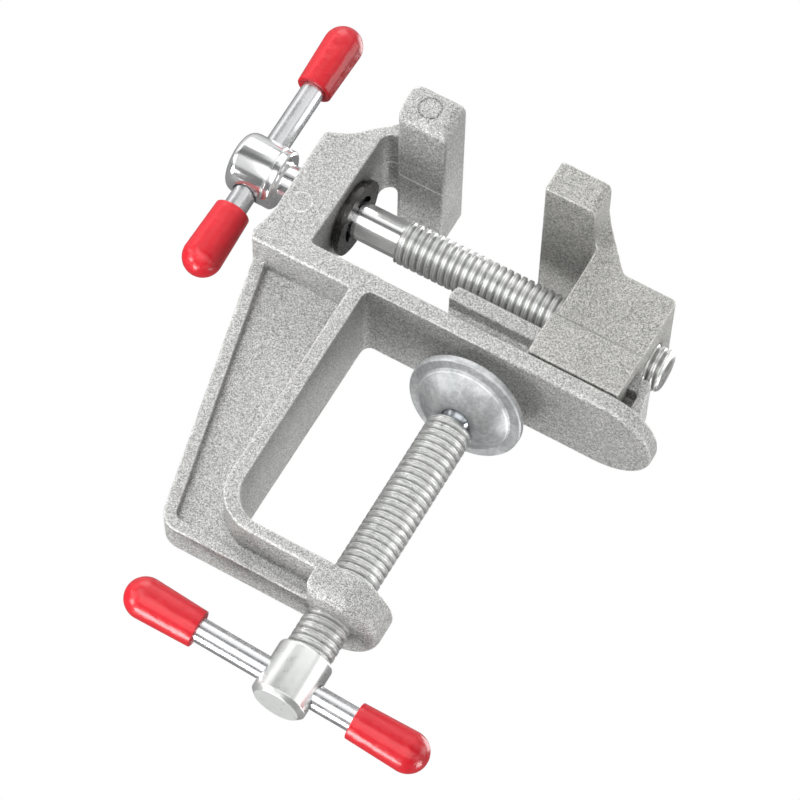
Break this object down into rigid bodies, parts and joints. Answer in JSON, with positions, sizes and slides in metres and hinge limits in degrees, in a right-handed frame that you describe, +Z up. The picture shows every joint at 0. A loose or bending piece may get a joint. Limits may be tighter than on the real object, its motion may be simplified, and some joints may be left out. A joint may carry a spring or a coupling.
{
  "type": "table-edge bench vise",
  "caption": "Small cast bench vise: a C-frame screws onto a table edge, a jaw slides on a T-rail, both screws have sliding bars with soft caps.",
  "frame": {"origin": "on the beam's underside, which rests on the table top, at the clamp screw's axis and in the mid-plane", "axes": "+X from the fixed jaw to the moving jaw, along the lead screw; +Y across, to the right-hand side seen from the fixed end; +Z up out of the table, along the clamp screw"},
  "size_m": [0.0832, 0.0356, 0.1086],
  "materials": {
    "cast_body": "tumbled cast",
    "cast_jaw": "tumbled cast",
    "lead_steel": "polished plated",
    "washer_steel": "blackened, oiled",
    "ring_steel": "blackened, oiled",
    "bar_steel": "polished plated",
    "cap_vinyl": "soft gloss",
    "clamp_steel": "zinc plated, turned",
    "ball_steel": "polished",
    "pad_steel": "zinc plated, satin"
  },
  "bodies": {
    "frame": {"body_casting": "cast_body"},
    "moving_jaw": {"moving_jaw": "cast_jaw"},
    "lead_screw": {"lead_screw": "lead_steel", "thrust_washer": "washer_steel", "retaining_ring": "ring_steel"},
    "lead_bar": {"lead_bar": "bar_steel", "lead_cap_upper": "cap_vinyl", "lead_cap_lower": "cap_vinyl"},
    "clamp_swivel": {"clamp_ball": "ball_steel"},
    "clamp_screw": {"clamp_screw": "clamp_steel"},
    "clamp_bar": {"clamp_bar": "bar_steel", "clamp_cap_left": "cap_vinyl", "clamp_cap_right": "cap_vinyl"},
    "clamp_pad": {"clamp_pad": "pad_steel"}
  },
  "joints": [
    {"name": "lead_turn", "type": "hinge", "parent": "frame", "child": "lead_screw", "pos_m": [-0.0492, 0, 0.0149], "axis": [1, 0, 0], "range_deg": [-490, 5012]},
    {"name": "jaw_slide", "type": "slide", "parent": "frame", "child": "moving_jaw", "axis": [1, 0, 0], "range_m": [-0.0174, 0.0017]},
    {"name": "lead_bar_slide", "type": "slide", "parent": "lead_screw", "child": "lead_bar", "axis": [0, -0.0262, 0.9997], "range_m": [-0.0116, 0.0034]},
    {"name": "clamp_travel", "type": "slide", "parent": "frame", "child": "clamp_swivel", "axis": [0, 0, 1], "range_m": [-0.032, 0.0015]},
    {"name": "clamp_turn", "type": "hinge", "parent": "clamp_swivel", "child": "clamp_screw", "pos_m": [0, 0, -0.0101], "axis": [0, 0, 1], "range_deg": [-9217, 433]},
    {"name": "clamp_bar_slide", "type": "slide", "parent": "clamp_screw", "child": "clamp_bar", "axis": [0.9938, 0.1115, 0], "range_m": [-0.0064, 0.0112]},
    {"name": "pad_tip", "type": "hinge", "parent": "clamp_swivel", "child": "clamp_pad", "pos_m": [0, 0, -0.0079], "axis": [1, 0, 0], "range_deg": [-3.5, 32.5]}
  ],
  "couplings": [
    {"joint": "lead_turn", "follows": "jaw_slide", "rad_per_m": -5026.5},
    {"joint": "clamp_turn", "follows": "clamp_travel", "rad_per_m": 5026.5}
  ]
}
